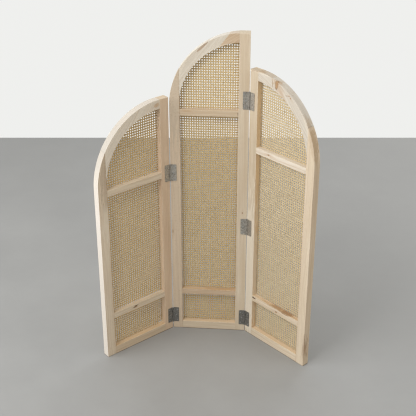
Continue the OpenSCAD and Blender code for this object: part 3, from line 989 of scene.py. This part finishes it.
def weave_cane(panel, material):
    """Fills a panel with six-way cane: upright and level pairs, and slants both ways."""
    low, high = panel.span("cane")
    wide, tall = STRETCH[panel.name]
    hull = [(p.x / wide, p.z / tall) for p in panel.points("cane")]
    outline = [hull[i] for i in convex_hull_2d(hull)]
    depth = (low.y + high.y) / 2
    columns, rows = lattice(low.x / wide, high.x / wide), lattice(low.z / tall, high.z / tall)
    shift = Vector((panel.stile_w / wide + PITCH / 2, panel.bottom_h / tall + PITCH / 2))
    for kind, lay in (("grid", weave_pairs), ("slants", weave_slants)):
        weave = Weave(panel, depth, outline, (wide, tall))
        lay(weave, columns, rows, shift)
        piece = weave.finish(f"{panel.name}_cane_{kind}")
        piece.data.materials.append(material)
        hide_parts(f"{panel.name}_cane")
        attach(piece, panel.name)


# ---------------------------------------------------------------- rounded edges

GEOMETRY = [("Geometry", "Geometry")]
SHARP = math.radians(35)
LONG = 4 * MM
STAYS_SHARP = math.radians(50)


def rounding_nodes():
    """Marks the edges to round, those that are sharp and long, with a bevel weight."""
    group, given, result = make_group("mark_long_sharp_edges", GEOMETRY, GEOMETRY, "Geometry")
    angle = add(group, "GeometryNodeInputMeshEdgeAngle").outputs["Unsigned Angle"]
    ends = add(group, "GeometryNodeInputMeshEdgeVertices").outputs
    length = vector_node(group, "DISTANCE", ends["Position 1"], ends["Position 2"], output="Value")
    sharp = math_node(group, "GREATER_THAN", angle, SHARP)
    long = math_node(group, "GREATER_THAN", length, LONG)
    inputs = {
        "Geometry": given[0],
        "Name": "bevel_weight_edge",
        "Value": math_node(group, "MULTIPLY", sharp, long),
    }
    kind = "GeometryNodeStoreNamedAttribute"
    store = add(group, kind, inputs, data_type="FLOAT", domain="EDGE")
    group.links.new(store.outputs[0], result[0])
    return group


def smoothing_nodes():
    """Shades every face smooth, apart from edges that stay sharp."""
    group, given, result = make_group("smooth_but_sharp_edges", GEOMETRY, GEOMETRY, "Geometry")
    angle = add(group, "GeometryNodeInputMeshEdgeAngle").outputs["Unsigned Angle"]
    sharp = math_node(group, "GREATER_THAN", angle, STAYS_SHARP)
    faces = add(group, "GeometryNodeSetShadeSmooth", {"Geometry": given[0]}, domain="FACE")
    inputs = {"Geometry": faces.outputs[0], "Selection": sharp, "Shade Smooth": False}
    edges = add(group, "GeometryNodeSetShadeSmooth", inputs, domain="EDGE")
    group.links.new(edges.outputs[0], result[0])
    return group


WELD_GAP = 0.01 * MM
FLAT = math.radians(0.6)
ROUNDING = {
    "_leaf": 0.25 * MM,
    "_bead": 0.5 * MM,
    "_stile": 1.2 * MM,
    "_board": 1.2 * MM,
    "_block": 1.2 * MM,
    "_rail": 1.0 * MM,
}


def round_edges(node, width, marks, smooth):
    """Rounds a CAD node's edges by modifiers alone, so its own mesh stays as packed."""
    weld = node.modifiers.new("weld", "WELD")
    weld.merge_threshold = WELD_GAP
    merge = node.modifiers.new("merge_flats", "DECIMATE")
    merge.decimate_type = "DISSOLVE"
    merge.angle_limit = FLAT
    node.modifiers.new("mark", "NODES").node_group = marks
    bevel = node.modifiers.new("round", "BEVEL")
    bevel.limit_method = "WEIGHT"
    bevel.width = width
    bevel.segments = 2
    node.modifiers.new("smooth", "NODES").node_group = smooth
    even = node.modifiers.new("even_normals", "WEIGHTED_NORMAL")
    even.keep_sharp = True


def round_all():
    """Rounds the edges of the timber and the hinge leaves."""
    marks, smooth = rounding_nodes(), smoothing_nodes()
    for name, node in NODES.items():
        for ending, width in ROUNDING.items():
            if name.endswith(ending):
                round_edges(node, width, marks, smooth)


# ---------------------------------------------------------------- studio

CAMERA_PLACE = Vector((0.351, -4.238, 2.965))
CAMERA_YAW = math.radians(-4.82)
CAMERA_PITCH = math.radians(27.31)
LENS = 77.2
SENSOR_W = 36
FLOOR_X = (-7.0, 7.0)
FLOOR_Y = (-7.0, 2.8)
FLOOR_DARK = srgb(149, 149, 148)
FLOOR_PALE = srgb(161, 161, 160)

# Each lamp's place and width in metres, its power in watts and its colour.
LAMPS = {
    "key": ((-4.1, -1.9, 2.9), 4.0, 134, (1.0, 1.0, 0.995)),
    "spot": ((-1.7, -2.9, 4.8), 1.5, 72, (1.0, 0.985, 0.96)),
    "fill": ((4.0, -1.4, 2.4), 3.0, 33, (1.0, 0.97, 0.93)),
    "back_fill": ((2.5, 4.5, 3.0), 2.5, 50, (1.0, 0.99, 0.97)),
}
LAMP_TARGET = (0, 0, 0.8)

# The surroundings are brightest towards BRIGHT_WAY, and dimmer overhead.
BRIGHT_WAY = (-0.684, 0.57, 0.456)
ROOM_DIM = (0.55, 0.538, 0.512)
ROOM_BRIGHT = (0.865, 0.868, 0.85)
OVERHEAD = 0.62


def floor_material():
    """Pale smooth concrete with faint clouds."""
    material, tree, shader = new_material("studio_floor")
    place = add(tree, "ShaderNodeTexCoord").outputs["Object"]
    cloud = noise(tree, place, 1.6, 5, 0.6)
    fine = noise(tree, place, 60, 3, 0.6)
    colour = ramp(tree, cloud, [(0.25, FLOOR_DARK), (0.75, FLOOR_PALE)])
    wire(tree, shader, colour, remap(tree, cloud, 0.2, 0.8, 0.5, 0.7), fine, 0.2 * MM)
    return material


def make_floor():
    """A floor square to the camera, so its far edge is level in the picture."""
    mesh = bpy.data.meshes.new("floor")
    turn = Matrix.Rotation(-CAMERA_YAW, 3, "Z")
    corners = [turn @ Vector((x, y, 0)) for y in FLOOR_Y for x in FLOOR_X]
    mesh.from_pydata(corners, [], [(0, 1, 3, 2)])
    floor = bpy.data.objects.new("floor", mesh)
    bpy.context.scene.collection.objects.link(floor)
    mesh.materials.append(floor_material())


def aim(thing, place, target):
    """Puts a camera or lamp at a place, looking at a target."""
    thing.location = place
    thing.rotation_mode = "QUATERNION"
    thing.rotation_quaternion = (Vector(target) - Vector(place)).to_track_quat("-Z", "Y")


def make_lamp(name, place, width, power, colour):
    """A round lamp that shines on the middle of the divider."""
    light = bpy.data.lights.new(name, "AREA")
    light.shape = "DISK"
    light.size = width
    light.energy = power
    light.color = colour
    lamp = bpy.data.objects.new(name, light)
    bpy.context.scene.collection.objects.link(lamp)
    aim(lamp, place, LAMP_TARGET)


def make_world():
    """Soft light from all round, as in a pale room."""
    world = bpy.data.worlds.new("studio")
    world.use_nodes = True
    tree = world.node_tree
    way = add(tree, "ShaderNodeTexCoord").outputs["Generated"]
    lean = vector_node(tree, "DOT_PRODUCT", way, BRIGHT_WAY, output="Value")
    colour = blend(tree, remap(tree, lean, -0.9, 0.1), ROOM_DIM, ROOM_BRIGHT)
    rise = add(tree, "ShaderNodeSeparateXYZ", {0: way}).outputs[2]
    colour = scaled(tree, colour, remap(tree, rise, 0.25, 0.95, 1.0, OVERHEAD))
    tree.links.new(colour, tree.nodes["Background"].inputs["Color"])
    bpy.context.scene.world = world


def make_studio():
    """Room light, floor and lamps, and how the picture is developed."""
    scene = bpy.context.scene
    scene.view_settings.view_transform = "Standard"
    scene.cycles.denoising_prefilter = "NONE"
    scene.cycles.filter_width = 1.2
    make_world()
    make_floor()
    for name, settings in LAMPS.items():
        make_lamp(name, *settings)


def make_camera():
    """A long lens that looks down on the divider from just right of its middle."""
    camera = bpy.data.objects.new("camera", bpy.data.cameras.new("camera"))
    bpy.context.scene.collection.objects.link(camera)
    camera.data.sensor_width = SENSOR_W
    camera.data.lens = LENS
    level = math.cos(CAMERA_PITCH)
    ahead = Vector(
        (math.sin(CAMERA_YAW) * level, math.cos(CAMERA_YAW) * level, -math.sin(CAMERA_PITCH))
    )
    aim(camera, CAMERA_PLACE, CAMERA_PLACE + ahead)
    bpy.context.scene.camera = camera


# ---------------------------------------------------------------- build

make_camera()
make_studio()
for number, panel in enumerate(PANELS):
    dress_timber(panel, number)
beech = dowel_wood()
for panel in PANELS:
    NODES[f"{panel.name}_dowels"].material_slots[0].material = beech
dress_steel()
canes = {name: cane_material(f"{name}_cane_straw", stops) for name, stops in STRAW_LIT_AND_SHADED.items()}
for panel in PANELS:
    weave_cane(panel, canes[panel.name])
round_all()
